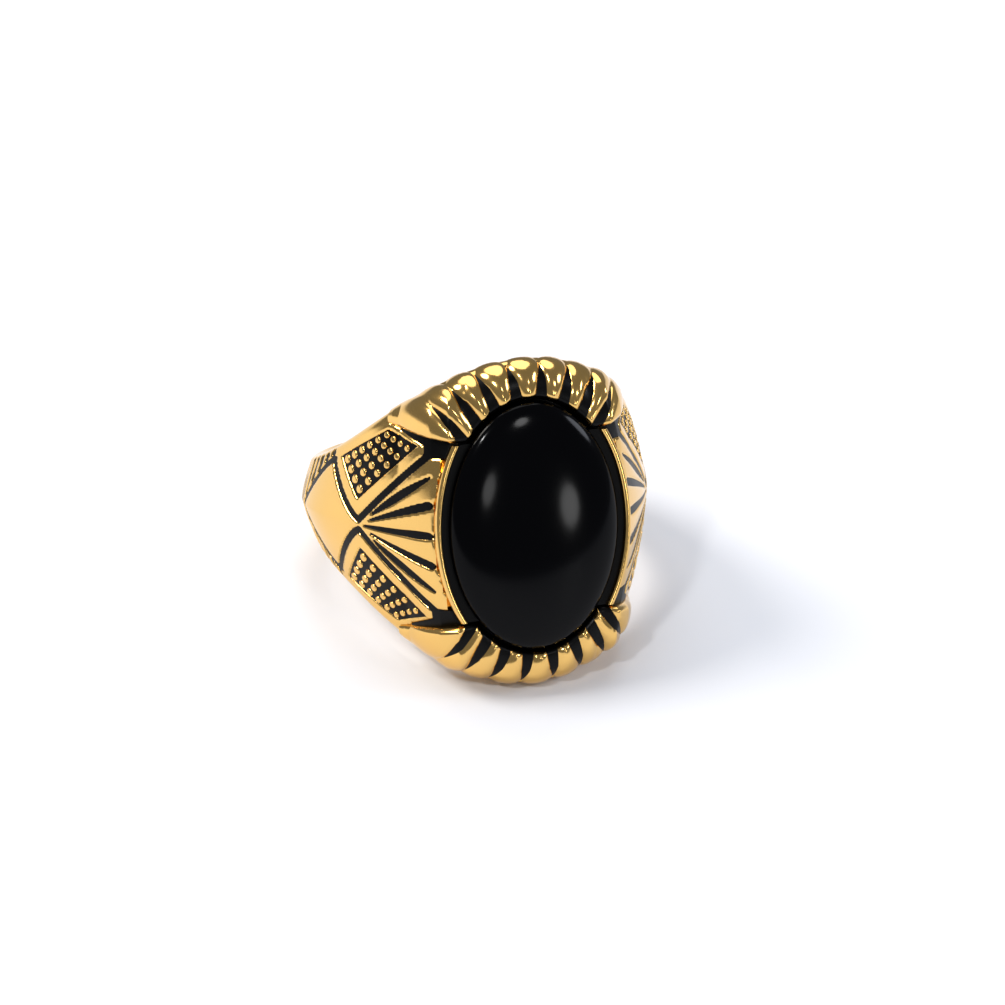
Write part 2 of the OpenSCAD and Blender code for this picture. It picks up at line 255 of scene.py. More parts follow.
def smoothed(piece: bpy.types.Object, crease: float) -> None:
    """Shades a piece smooth, apart from edges sharper than the crease angle.

    Args:
        piece: The piece to shade.
        crease: Degrees.
    """
    pick(piece)
    bpy.ops.object.shade_smooth_by_angle(angle=math.radians(crease))


# ---- Finishes ----


def add_node(
    tree: bpy.types.NodeTree, kind: str, links: dict | None = None, **settings: object
) -> bpy.types.Node:
    """Adds one shader node with its settings and links.

    Args:
        tree: The material's node tree.
        kind: The node's type.
        links: Input name to the socket that feeds it, or to its value.
        settings: Properties of the node.

    Returns:
        The new node.
    """
    node = tree.nodes.new(kind)
    for name, value in settings.items():
        setattr(node, name, value)
    for name, source in (links or {}).items():
        if isinstance(source, bpy.types.NodeSocket):
            tree.links.new(source, node.inputs[name])
        else:
            node.inputs[name].default_value = source
    return node


@dataclass(frozen=True)
class Finish:
    """A material's name, colour and gloss, and how uneven its surface is."""

    name: str
    colour: str
    roughness: float
    metallic: float = 0.0
    ior: float = 1.5
    specular: float = 0.5
    grain_mm: float = 1.0
    uneven: float = 0.0
    uneven_mm: float = 0.01

    def made(self) -> bpy.types.Material:
        """Makes the material, or finds it if it is made already.

        Returns:
            The material.
        """
        if self.name in bpy.data.materials:
            return bpy.data.materials[self.name]
        material = bpy.data.materials.new(self.name)
        material.use_nodes = True
        tree = material.node_tree
        shader = tree.nodes["Principled BSDF"]
        shader.inputs["Base Color"].default_value = srgb(self.colour)
        shader.inputs["Metallic"].default_value = self.metallic
        shader.inputs["Roughness"].default_value = self.roughness
        if not self.metallic:
            shader.inputs["IOR"].default_value = self.ior
            shader.inputs["Specular IOR Level"].default_value = self.specular
        place = add_node(tree, "ShaderNodeTexCoord")
        grain = add_node(
            tree, "ShaderNodeTexNoise",
            {"Vector": place.outputs["Object"], "Scale": 1.0 / (self.grain_mm * MM), "Detail": 3.0},
        )
        self.dress(tree, shader, place, grain)
        return material

    def dress(
        self, tree: bpy.types.NodeTree, shader: bpy.types.Node, place: bpy.types.Node, grain: bpy.types.Node
    ) -> None:
        """Makes the surface gently uneven.

        Args:
            tree: The material's node tree.
            shader: The surface's shader.
            place: The object coordinates; not used.
            grain: The noise of the unevenness.
        """
        bump = add_node(
            tree, "ShaderNodeBump",
            {"Height": grain.outputs["Fac"], "Strength": self.uneven, "Distance": self.uneven_mm * MM},
        )
        tree.links.new(bump.outputs["Normal"], shader.inputs["Normal"])


# Brass-toned plating over a cast and hand-polished body: a mirror with soft waves from the
# polishing wheel, about two millimetres apart.
POLISHED_GOLD = Finish(
    "polished_gold_plating", "EABD6E", roughness=0.14, metallic=1.0, grain_mm=1.8, uneven=0.3, uneven_mm=0.03
)
# Onyx, cut and polished as a cabochon: deep black under a clear gloss.
BLACK_ONYX = Finish("polished_black_onyx", "010102", roughness=0.11, ior=1.5, specular=0.1, grain_mm=3.0)
# Black resin enamel run into the engraving and cured: glossy, with fine pits and ripples.
RESIN_ENAMEL = Finish(
    "black_resin_enamel", "010101", roughness=0.32, ior=1.5, specular=0.12,
    grain_mm=0.3, uneven=0.4, uneven_mm=0.02,
)
# Black fill in the gap round the stone, on the packed cement: painted shade and dark reflection of that gap.
# Satin, slightly lumpy.
GAP_SHADE_FILL = Finish(
    "black_gap_shade_fill", "010101", roughness=0.5, ior=1.5, specular=0.12,
    grain_mm=0.4, uneven=0.4, uneven_mm=0.02,
)


class Slot(Enum):
    """The record's material slots, and the finish of each."""

    POLISHED_GOLD = "polished_gold"
    BLACK_STONE = "black_stone"
    BLACK_ENAMEL = "black_enamel"
    # The cement's slot: its black is painted shade in the gap round the stone
    BLACK_GAP_SHADE = "black_cement"


FINISH_OF = {
    Slot.POLISHED_GOLD: POLISHED_GOLD,
    Slot.BLACK_STONE: BLACK_ONYX,
    Slot.BLACK_ENAMEL: RESIN_ENAMEL,
    Slot.BLACK_GAP_SHADE: GAP_SHADE_FILL,
}


def lay_down(piece: bpy.types.Object, node: str, slot: Slot) -> None:
    """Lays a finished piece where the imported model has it, in metres, and dresses it.

    Args:
        piece: The piece, in the bench's frame.
        node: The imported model's node that it stands for.
        slot: The record's slot that it takes its finish from.
    """
    axis = frame["record"]["mounts"][0]["axis"]
    lean = math.atan2(axis[1], axis[2])
    piece.data.transform(Matrix.Rotation(-lean, 4, "X") @ Matrix.Scale(MM, 4))
    piece.data.materials.clear()
    piece.data.materials.append(FINISH_OF[slot].made())
    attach(piece, "root")
    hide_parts(node)
    log.info("%s: %d faces, stands for %s", piece.name, len(piece.data.polygons), node)


# ---- The casting's surface ----


@dataclass(frozen=True)
class Casting:
    """The outer surface of the cast shank, by angle round the ring and height along the finger."""

    bore: float = 9.9
    side: float = 12.0
    back: float = 11.5
    side_at: float = 75.0
    band_half: float = 2.2
    band_crown: float = 0.35
    shoulder_crown: float = 1.2
    crown_at: float = 65.0
    crown_ramp: float = 12.0
    crown_power: float = 1.3
    band_edge: float = 0.5
    bore_flare: float = 0.3
    head_half: float = 11.08
    head_spread: float = 67.0
    head_flare: float = 1.1
    head_round: float = 1.1
    head_round_long: float = 1.4
    deck: float = 12.5
    seat: float = 11.5
    rim_a: float = 6.85
    rim_b: float = 9.75

    def share(self, a: np.ndarray, reach: float) -> np.ndarray:
        """Falls from 1 at the head to 0 at the back.

        Args:
            a: Angles.
            reach: The angle by which most of it has fallen.

        Returns:
            The share at each angle.
        """
        return np.exp(-((np.abs(a) / reach) ** 2))

    def half_width(self, a: np.ndarray) -> np.ndarray:
        """Half the ring's width along the finger, at each angle."""
        return self.band_half + (self.head_half - self.band_half) * self.share(a, self.head_spread)

    def round_height(self, a: np.ndarray) -> np.ndarray:
        """Height of the rounded fall at the ring's edges, at each angle."""
        return self.band_edge + (self.head_round - self.band_edge) * self.share(a, 35)

    def round_length(self, a: np.ndarray) -> np.ndarray:
        """Length along the finger of the rounded fall, at each angle."""
        return self.band_edge + (self.head_round_long - self.band_edge) * self.share(a, 35)

    def flare(self, a: np.ndarray) -> np.ndarray:
        """Inward slope of the end walls, at each angle."""
        return self.bore_flare + (self.head_flare - self.bore_flare) * self.share(a, 35)

    def crown(self, a: np.ndarray) -> np.ndarray:
        """How far the face falls from its middle to its edges, at each angle."""
        edge = math.degrees(math.atan((self.rim_a + 0.05) / self.deck))
        most = self.share(np.abs(a) - self.crown_at, self.crown_at)
        rise = np.clip((np.abs(a) - edge) / self.crown_ramp, 0, 1)
        return (self.band_crown + (self.shoulder_crown - self.band_crown) * most) * rise

    def fall(self, a: np.ndarray, z: np.ndarray) -> np.ndarray:
        """Radius of the face before its edges are rounded: flat deck, shoulders, then band.

        Args:
            a: Angles.
            z: Heights along the finger.

        Returns:
            The radius at each place.
        """
        b = np.abs(a)
        oval = np.sqrt(np.clip(1 - (z / (self.rim_b + 0.3)) ** 2, 0, None))
        edge = np.degrees(np.arctan((self.rim_a + 0.05) * oval / self.deck))
        deck = self.deck / np.cos(np.radians(np.minimum(b, 80)))
        start = self.deck / np.cos(np.radians(edge))
        down = np.clip((self.side_at - b) / (self.side_at - edge), 0, 1)
        shoulder = self.side + (start - self.side) * down**2.1
        turn = np.radians((b - self.side_at) * 180 / (180 - self.side_at))
        band = self.back + (self.side - self.back) * (1 + np.cos(turn)) / 2
        return np.where(b <= edge, deck, np.where(b <= self.side_at, shoulder, band))

    def face(self, a: np.ndarray, z: np.ndarray) -> np.ndarray:
        """Radius of the finished face, with its crown and rounded edges.

        Args:
            a: Angles.
            z: Heights along the finger.

        Returns:
            The radius at each place.
        """
        half, length = self.half_width(a), self.round_length(a)
        high = np.minimum(np.abs(z), half)
        over = np.clip((high - (half - length)) / length, 0, 1)
        rounding = self.round_height(a) * (1 - np.sqrt(np.clip(1 - over**2, 0, None)))
        return self.fall(a, high) - self.crown(a) * (high / half) ** self.crown_power - rounding

    def at(self, a: np.ndarray, r: np.ndarray, z: np.ndarray) -> np.ndarray:
        """Turns angle, radius and height into bench places.

        Args:
            a: Angles.
            r: Radii.
            z: Heights along the finger.

        Returns:
            x, y and z in the last axis.
        """
        a, r, z = np.broadcast_arrays(a, r, z)
        return np.stack([-r * np.sin(np.radians(a)), -r * np.cos(np.radians(a)), z], axis=-1)

    def unrolled(self, a: np.ndarray) -> np.ndarray:
        """Distance round the face from the stone's middle to each angle."""
        mesh = np.linspace(0, 180, 721)
        step = self.fall(mesh, np.zeros_like(mesh)) * math.radians(mesh[1])
        run = np.concatenate([[0], np.cumsum((step[1:] + step[:-1]) / 2)])
        return np.interp(np.abs(a), mesh, run)


# ---- The engraving ----


@dataclass(frozen=True)
class Stroke:
    """A line cut by a graver: its path in angle and height, and its half width at each point."""

    path: tuple[tuple[float, float], ...]
    half: tuple[float, ...]

    def reach(self, casting: Casting, a: np.ndarray, z: np.ndarray) -> np.ndarray:
        """How far each place lies inside the stroke's outline; outside it is negative.

        Args:
            casting: The surface that it is cut in.
            a: Angles, not negative.
            z: Heights, not negative.

        Returns:
            Distances in millimetres.
        """
        u = casting.unrolled(a)
        best = np.full(np.broadcast(u, z).shape, -9.0)
        along = casting.unrolled(np.array([p[0] for p in self.path]))
        for i in range(len(self.path) - 1):
            du, dz = along[i + 1] - along[i], self.path[i + 1][1] - self.path[i][1]
            pu, pz = u - along[i], z - self.path[i][1]
            t = np.clip((pu * du + pz * dz) / (du * du + dz * dz), 0, 1)
            wide = self.half[i] + (self.half[i + 1] - self.half[i]) * t
            best = np.maximum(best, wide - np.hypot(pu - t * du, pz - t * dz))
        return best


@dataclass(frozen=True)
class Engraving:
    """The shoulders' pattern: chevron lines, rays, dotted panels, leaf line, flutes and pockets."""

    casting: Casting
    deep: float = 0.3
    lip: float = 0.11
    wall: float = 0.2
    enamel_low: float = 0.06
    enamel_foot: float = 0.26
    chevron_at: float = 57.2
    chevron_neck: float = 0.33
    leaf_corner: tuple[float, float] = (74.0, 3.7)
    leaf_tip: float = 95.0
    chevron_end: tuple[float, float] = (29.5, 5.4)
    line_wide: float = 0.36
    ray_wide: float = 0.42
    flute_wide: float = 0.3
    flutes: int = 6
    flute_pitch: float = 4.6
    ray_from: tuple[tuple[float, float], ...] = ((54.5, 0.0), (52.0, 0.45), (51.0, 0.9))
    ray_to: tuple[tuple[float, float], ...] = ((30.2, 0.0), (30.0, 2.05), (29.5, 3.9))
    panel: tuple[tuple[float, float], ...] = ((58.0, 1.75), (69.0, 4.2), (46.0, 6.5), (34.2, 5.8))
    dot_rows: int = 6
    dot_cols: int = 4
    dot_wide: tuple[float, float] = (0.66, 0.46)
    dot_square: float = 0.2
    pockets: tuple[tuple[tuple[float, float], ...], ...] = (
        ((31.4, 5.2), (31.4, 6.9), (19.5, 6.9), (19.5, 5.2)),
        ((40.4, 6.65), (40.4, 7.0), (31.2, 6.9), (31.2, 5.92)),
    )

    def chevron(self) -> Stroke:
        """The bent line from the leaf's corner to its turning point and in to the head."""
        out, neck, end = self.leaf_corner, (self.chevron_at, self.chevron_neck), self.chevron_end
        away = [(neck[0] + (out[0] - neck[0]) * t, neck[1] + (out[1] - neck[1]) * t**1.35)
                for t in np.linspace(1, 0, 9)]
        back = [(neck[0] + (end[0] - neck[0]) * t, neck[1] + (end[1] - neck[1]) * t)
                for t in np.linspace(0, 1, 13)[1:]]
        path = tuple(away + back)
        return Stroke(path, (self.line_wide / 2,) * len(path))

    def ray(self, k: int) -> Stroke:
        """One ray from the neck to the head: the middle one is 0, the outermost 2."""
        t = np.linspace(0, 1, 13)
        start, end = self.ray_from[k], self.ray_to[k]
        path = tuple((start[0] + (end[0] - start[0]) * s, start[1] + (end[1] - start[1]) * s) for s in t)
        if k == 2:
            wide = np.sin(np.pi * (0.04 + 0.92 * t))
        else:
            wide = np.minimum(1, 0.12 + 1.1 * t)
        return Stroke(path, tuple(self.ray_wide / 2 * wide))

    def leaf_arc(self, a: float) -> float:
        """Height of the leaf's outer arc at an angle."""
        past = max(0.0, (a - self.leaf_corner[0]) / (self.leaf_tip - self.leaf_corner[0]))
        return self.leaf_corner[1] * (1 - past**1.4)

    def leaf(self) -> Stroke:
        """The line round the leaf's outer end."""
        span = np.linspace(self.leaf_corner[0] - 0.4, self.leaf_tip, 15)
        path = tuple((a, self.leaf_arc(a) + 0.12) for a in span)
        return Stroke(path, (self.flute_wide / 2,) * len(path))

    def flute(self, i: int) -> Stroke:
        """One short line from near the leaf to the band's edge."""
        a = self.leaf_corner[0] + 2.2 + i * self.flute_pitch
        low = self.leaf_arc(a) + 0.45
        high = float(self.casting.half_width(np.array(a))) - self.casting.band_edge * 0.8
        path = tuple((a - 0.8 * t, low + (high - low) * t) for t in np.linspace(0, 1, 7))
        half = self.flute_wide / 2
        return Stroke(path, (0.04, half * 0.8) + (half,) * 5)

    def rays(self) -> list[Stroke]:
        """The strokes of the chevron and the rays."""
        return [self.chevron()] + [self.ray(k) for k in range(3)]

    def flute_strokes(self) -> list[Stroke]:
        """The strokes of the leaf's arc and the flutes."""
        return [self.leaf()] + [self.flute(i) for i in range(self.flutes)]

    def patch_reach(
        self, corners: tuple[tuple[float, float], ...], a: np.ndarray, z: np.ndarray
    ) -> np.ndarray:
        """How far each place lies inside a four-sided patch.

        Args:
            corners: Its corners in order, as angle and height.
            a: Angles, not negative.
            z: Heights, not negative.

        Returns:
            Distances in millimetres; outside they are negative.
        """
        u = self.casting.unrolled(a)
        cu = self.casting.unrolled(np.array([c[0] for c in corners]))
        cz = np.array([c[1] for c in corners])
        turn = np.sign(np.sum(cu * np.roll(cz, -1) - np.roll(cu, -1) * cz))
        best = np.full(np.broadcast(u, z).shape, 9.0)
        for i in range(len(corners)):
            k = (i + 1) % len(corners)
            du, dz = cu[k] - cu[i], cz[k] - cz[i]
            best = np.minimum(best, turn * (du * (z - cz[i]) - dz * (u - cu[i])) / math.hypot(du, dz))
        return best

    def dots(self) -> list[tuple[float, float, float]]:
        """The panel's raised dots.

        Returns:
            Angle, height and width of each.
        """
        made = []
        p = [np.array(c) for c in self.panel]
        for i in range(self.dot_rows):
            for j in range(self.dot_cols):
                s, v = (i + 0.5) / self.dot_rows, (j + 0.5) / self.dot_cols
                low, high = p[0] + (p[3] - p[0]) * s, p[1] + (p[2] - p[1]) * s
                a, z = low + (high - low) * v
                made.append((a, z, self.dot_wide[0] + (self.dot_wide[1] - self.dot_wide[0]) * s))
        return made

    def sunk(self, reach: np.ndarray) -> np.ndarray:
        """Depth of the metal at a distance inside an outline, with an eased edge."""
        return self.deep * smooth_step(-self.lip, self.wall - self.lip, reach)

    def depth(self, a: np.ndarray, z: np.ndarray) -> np.ndarray:
        """How deep the engraving goes at each place.

        Args:
            a: Angles.
            z: Heights.

        Returns:
            Depths in millimetres.
        """
        a, z = np.broadcast_arrays(np.abs(a), np.abs(z))
        deep = np.zeros(a.shape)
        near = (a > 15) & (a < 102)
        an, zn = a[near], z[near]
        reach = np.full(an.shape, -9.0)
        for stroke in self.rays() + self.flute_strokes():
            reach = np.maximum(reach, stroke.reach(self.casting, an, zn))
        for patch in (self.panel, *self.pockets):
            reach = np.maximum(reach, self.patch_reach(patch, an, zn))
        deep[near] = self.sunk(reach)
        return deep


# ---- Shank ----


@dataclass
class Shank:
    """Cast hoop, shoulders and head in one piece, with its engraving and raised dots."""

    casting: Casting
    engraving: Engraving
    collar: "Collar"
    comfort: float = 0.2
    bore_reach: float = 0.4

    def stations(self) -> np.ndarray:
        """Angles of the cross-sections: close together on the engraved shoulders."""
        shoulder = np.linspace(26, 99, 176)
        head = np.linspace(-26, 26, 27)[1:-1]
        back = np.linspace(99, 261, 66)[1:-1]
        return np.concatenate([head, shoulder, back, 360 - shoulder[::-1]])

    def rebate(self, a: np.ndarray, z: np.ndarray) -> np.ndarray:
        """Depth of the seats for the stone and for the collars, at each place."""
        b = np.where(a > 180, 360 - a, np.abs(a))
        x = self.casting.deck * np.tan(np.radians(np.minimum(b, 60)))
        oval = np.hypot(x / self.casting.rim_a, z / self.casting.rim_b)
        stone = (self.casting.deck - self.casting.seat) * smooth_step(0.0, 0.02, 0.995 - oval) * (b < 60)
        half = self.casting.half_width(b)
        inside = np.minimum(np.abs(z) - self.collar.inner_edge(b) - 0.05, half - 0.3 - np.abs(z))
        collars = 0.45 * smooth_step(0.0, 0.1, inside) * smooth_step(0, 0.6, self.collar.tongue_out - 0.5 - b)
        return np.maximum(stone, collars)

    def sections(self) -> np.ndarray:
        """The hoop's cross-sections, face, end walls, eased bore edges and bore."""
        a = self.stations()[:, None]
        b = np.where(a > 180, 360 - a, np.abs(a))
        half, length = self.casting.half_width(b), self.casting.round_length(b)
        flat = (half - length) * np.linspace(-1, 1, 131)[None, :]
        turn = np.radians(np.linspace(0, 90, 12)[1:])[None, :]
        edge = half - length + length * np.sin(turn)
        z = np.concatenate([-edge[:, ::-1], flat, edge], axis=1)
        r = self.casting.face(b, z) - np.maximum(self.engraving.depth(b, z), self.rebate(b, z))
        inner = self.casting.bore + self.comfort
        down = np.linspace(0, 1, 6)[None, 1:]
        rim = r[:, -1:]
        wall_r = rim + (inner - rim) * down
        slope = self.casting.flare(b) / (rim - self.casting.bore + self.bore_reach)
        wall_z = half - slope * (rim - wall_r)
        turn = np.radians(np.linspace(0, 90, 5)[None, 1:])
        ease_r = inner - self.comfort * np.sin(turn)
        ease_z = wall_z[:, -1:] - self.comfort * (1 - np.cos(turn))
        bore_z = ease_z[:, -1:] * np.linspace(1, -1, 16)[None, 1:-1]
        side_r = np.concatenate([wall_r, np.broadcast_to(ease_r, (len(a), 4))], axis=1)
        side_z = np.concatenate([wall_z, ease_z], axis=1)
        bore_r = np.full(bore_z.shape, self.casting.bore)
        r = np.concatenate([r, side_r, bore_r, side_r[:, ::-1]], axis=1)
        z = np.concatenate([z, side_z, bore_z, -side_z[:, ::-1]], axis=1)
        return self.casting.at(a, r, z)

    def dot_master(self) -> bpy.types.Object:
        """One raised dot, a bead one millimetre wide with a flat top, that stands on -Y."""
        clear_bench()
        bpy.ops.mesh.primitive_uv_sphere_add(
            segments=16, ring_count=8, radius=0.5, rotation=(math.pi / 2, 0, 0)
        )
        bead = bpy.context.object
        bpy.ops.object.transform_apply(location=True, rotation=True, scale=True)
        shape = places(bead)
        high = np.clip(np.abs(2 * shape[:, 1]) * 1.6, 0, 1) ** self.engraving.dot_square
        shape[:, 1] = np.sign(shape[:, 1]) * high / 2
        move_to(bead, shape)
        return bead

    def dots(self) -> bpy.types.Object:
        """All raised dots of the four panels, standing on the panels' floors."""
        bead = self.dot_master()
        shape = places(bead)
        made = []
        for a, z, wide in self.engraving.dots():
            for side in (1, -1):
                for end in (1, -1):
                    copy = bead.copy()
                    copy.data = bead.data.copy()
                    bpy.context.collection.objects.link(copy)
                    move_to(copy, self.dot_places(shape, a * side, z * end, wide))
                    made.append(copy)
        bpy.data.objects.remove(bead, do_unlink=True)
        return joined("raised_dots", made)

    def dot_places(self, shape: np.ndarray, a: float, z: float, wide: float) -> np.ndarray:
        """Places one dot's points on the face, square to it.

        Args:
            shape: The bead's own points.
            a: Angle of its middle.
            z: Height of its middle.
            wide: Its width.

        Returns:
            The points on the bench.
        """
        one, tall = np.array(1.0), self.engraving.deep + 0.1
        mid, around, along = (
            self.casting.at(one * p, self.casting.face(one * p, one * q), one * q)
            for p, q in ((a, z), (a + 0.5, z), (a, z + 0.1))
        )
        east = (around - mid) / np.linalg.norm(around - mid)
        out = np.cross(east, along - mid)
        out = out / np.linalg.norm(out)
        if np.dot(out[:2], mid[:2]) < 0:
            out = -out
        north = np.cross(out, east)
        plan = shape * wide
        lift = -shape[:, 1] * 2 * tall - tall + 0.04
        return mid + plan[:, :1] * east + plan[:, 2:3] * north + lift[:, None] * out

    def build(self) -> None:
        """Builds the shank, welds the dots on and lays it down."""
        shank = forged_hoop("cast_shank", self.sections())
        work(shank, self.dots(), Cut.WELD)
        smoothed(shank, 75)
        lay_down(shank, "shank", Slot.POLISHED_GOLD)


# ---- Collars ----


@dataclass(frozen=True)
class Collar:
    """A ribbed collar over one end of the stone, and the black wedges between its ribs."""

    casting: Casting
    stone_half: tuple[float, float] = (5.9, 8.4)
    gap: float = 0.12
    proud: float = 0.8
    foot: float = 0.45
    lip: float = 0.12
    tongue_in: float = 20.5
    tongue_out: float = 46.0
    tongue_z: float = 6.05
    tongue_slope: float = 0.034
    ribs_side: int = 3
    rib_pitch: float = 16.6
    rib_closing: float = 0.85
    groove_wide: float = 0.8
    groove_long: float = 2.75
    groove_growth: float = 0.35
    groove_spread: float = 0.57
    rib_round: float = 0.3
    rib_ease: float = 0.32
    groove_deep: float = 0.55
    enamel_low: float = 0.3
    inner_round: float = 0.5
    wedge_span: tuple[float, float] = (-9.0, -15.0)

    def inner_edge(self, a: np.ndarray) -> np.ndarray:
        """Height of the collar's inner edge: round the stone, then along the tongues."""
        b = np.abs(a)
        x = self.casting.deck * np.tan(np.radians(np.minimum(b, 60)))
        oval = np.sqrt(np.clip(1 - (x / (self.stone_half[0] + self.gap)) ** 2, 0, None))
        head = np.maximum((self.stone_half[1] + self.gap) * oval, self.tongue_z)
        return np.where(b <= self.tongue_in, head, self.tongue_z + (b - self.tongue_in) * self.tongue_slope)

    def grooves(self) -> list[tuple[np.ndarray, np.ndarray, float]]:
        """The grooves of one side, and of the other by mirroring.

        Returns:
            For each, its start on the stone's outline, its direction, across and along, and its
            length.
        """
        found = []
        for i in range(self.ribs_side + 1):
            k = i + 0.5
            t = math.radians(k * self.rib_pitch - k * k * self.rib_closing)
            start = np.array([self.stone_half[0] * math.sin(t), self.stone_half[1] * math.cos(t)])
            across, along = self.stone_half
            turn = self.groove_spread * math.atan2(math.sin(t) / across, math.cos(t) / along)
            out = np.array([math.sin(turn), math.cos(turn)])
            found.append((start, out, self.groove_long + i * self.groove_growth))
        return found

    def groove_half(self, s: np.ndarray, long: float) -> np.ndarray:
        """Half width of a groove of some length, at a distance from the stone."""
        return self.groove_wide / 2 * np.interp(s, [0.4, 0.65 * long, long], [1.0, 0.72, 0.0])

    def rib_reach(self, x: np.ndarray, z: np.ndarray) -> np.ndarray:
        """How far each place lies from the nearest groove's edge, towards the rib's middle."""
        best = np.full(x.shape, 9.0)
        for start, out, long in self.grooves():
            dx, dz = np.abs(x) - start[0], z - start[1]
            along = dx * out[0] + dz * out[1]
            across = np.abs(dx * out[1] - dz * out[0])
            past = np.clip(along - long, 0, None)
            best = np.minimum(best, np.hypot(across, past) - self.groove_half(along, long))
        return best

    def sections(self, a: np.ndarray, sink: float | None = None) -> np.ndarray:
        """The collar's cross-sections.

        Args:
            a: Angles of the sections.
            sink: An even distance under the ribs' tops, or none for the ribbed metal.

        Returns:
            The sections, as [section, point, xyz].
        """
        a = a[:, None]
        half = self.casting.half_width(a) + self.lip
        z0 = np.minimum(self.inner_edge(a), half - 0.4)
        r0 = self.casting.face(a, z0)
        drop = np.maximum(r0 - self.casting.face(a, half), 0.3)
        thin = (self.tongue_out - np.abs(a)) / (self.tongue_out - self.tongue_in)
        up = self.proud * np.minimum(1, 0.1 + thin)
        soft = np.minimum(self.inner_round, 0.4 * (half - z0))
        s = np.radians(np.linspace(0, 90, 13))[None, :-1]
        t = np.radians(np.linspace(0, 90, 55))[None, :]
        base = 0.25
        in_r, in_z = r0 - base + (up + base) * np.sin(s), z0 + soft * (1 - np.cos(s))
        out_r, out_z = r0 - drop + (drop + up) * np.cos(t), z0 + soft + (half - z0 - soft) * np.sin(t)
        r, z = np.concatenate([in_r, out_r], axis=1), np.concatenate([in_z, out_z], axis=1)
        if sink is None:
            place = self.casting.at(a, r, z)
            reach = self.rib_reach(place[..., 0], place[..., 2])
            low = self.rib_round * np.exp(-np.clip(reach, 0, None) / self.rib_ease)
            low = low + (self.groove_deep - self.rib_round) * smooth_step(-0.02, 0.16, -reach)
        else:
            low = np.full(r.shape, sink)
        inner, outer = low[:, : s.shape[1]], low[:, s.shape[1] :]
        in_r = r0 - base + (up + base - inner) * np.sin(s)
        out_r = r0 - drop + (drop + up - outer) * np.cos(t)
        out_z = z0 + soft + (half - z0 - soft - outer) * np.sin(t)
        step = np.minimum(self.casting.rim_b - self.stone_half[1] + 0.05, (half - z0) / 2)
        low_r, high_r = r0 - drop - self.foot, r0 - self.foot
        under_r = np.concatenate([low_r, low_r, high_r, high_r], axis=1)
        under_z = np.concatenate([half - 0.3, z0 + step, z0 + step, z0], axis=1)
        r = np.concatenate([in_r, out_r, under_r], axis=1)
        z = np.concatenate([np.broadcast_to(in_z, in_r.shape), out_z, under_z], axis=1)
        return self.casting.at(a, r, z)

    def wedges(self) -> bpy.types.Object:
        """Solids that fill the grooves and stand clear above and below them."""
        made = []
        for start, out, long in self.grooves():
            for side in (1, -1):
                s = np.linspace(-0.6, long + 0.05, 12)
                half = self.groove_half(s, long) + 0.07
                side_way = np.array([out[1], -out[0]])
                line = start + s[:, None] * out
                off = half[:, None] * side_way
                loop = np.concatenate([line + off, (line - off)[::-1]])
                rings = [
                    np.stack([loop[:, 0] * side, np.full(len(loop), y), loop[:, 1]], axis=-1)
                    for y in self.wedge_span
                ]
                made.append(forged_bar("wedge", np.array(rings)))
        return joined("wedges", made)

    def build(self, end: int, name: str) -> None:
        """Builds one collar and its enamel, and lays them down.

        Args:
            end: 1 for the upper end of the stone, -1 for the lower.
            name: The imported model's node of the collar.
        """
        flip = np.array([1.0, 1.0, float(end)])
        a = np.linspace(-self.tongue_out, self.tongue_out, 331)
        metal = forged_bar(f"ribbed_{name}", self.sections(a) * flip)
        smoothed(metal, 60)
        lay_down(metal, name, Slot.POLISHED_GOLD)
        a = np.linspace(-self.tongue_out, self.tongue_out, 93)
        fill = forged_bar(f"{name}_fill", self.sections(a, self.enamel_low))
        work(fill, self.wedges(), Cut.KEEP_COMMON)
        move_to(fill, places(fill) * flip)
        face_outwards(fill)
        smoothed(fill, 40)
        lay_down(fill, f"{name}_enamel", Slot.BLACK_ENAMEL)


# ---- Shoulder enamel ----


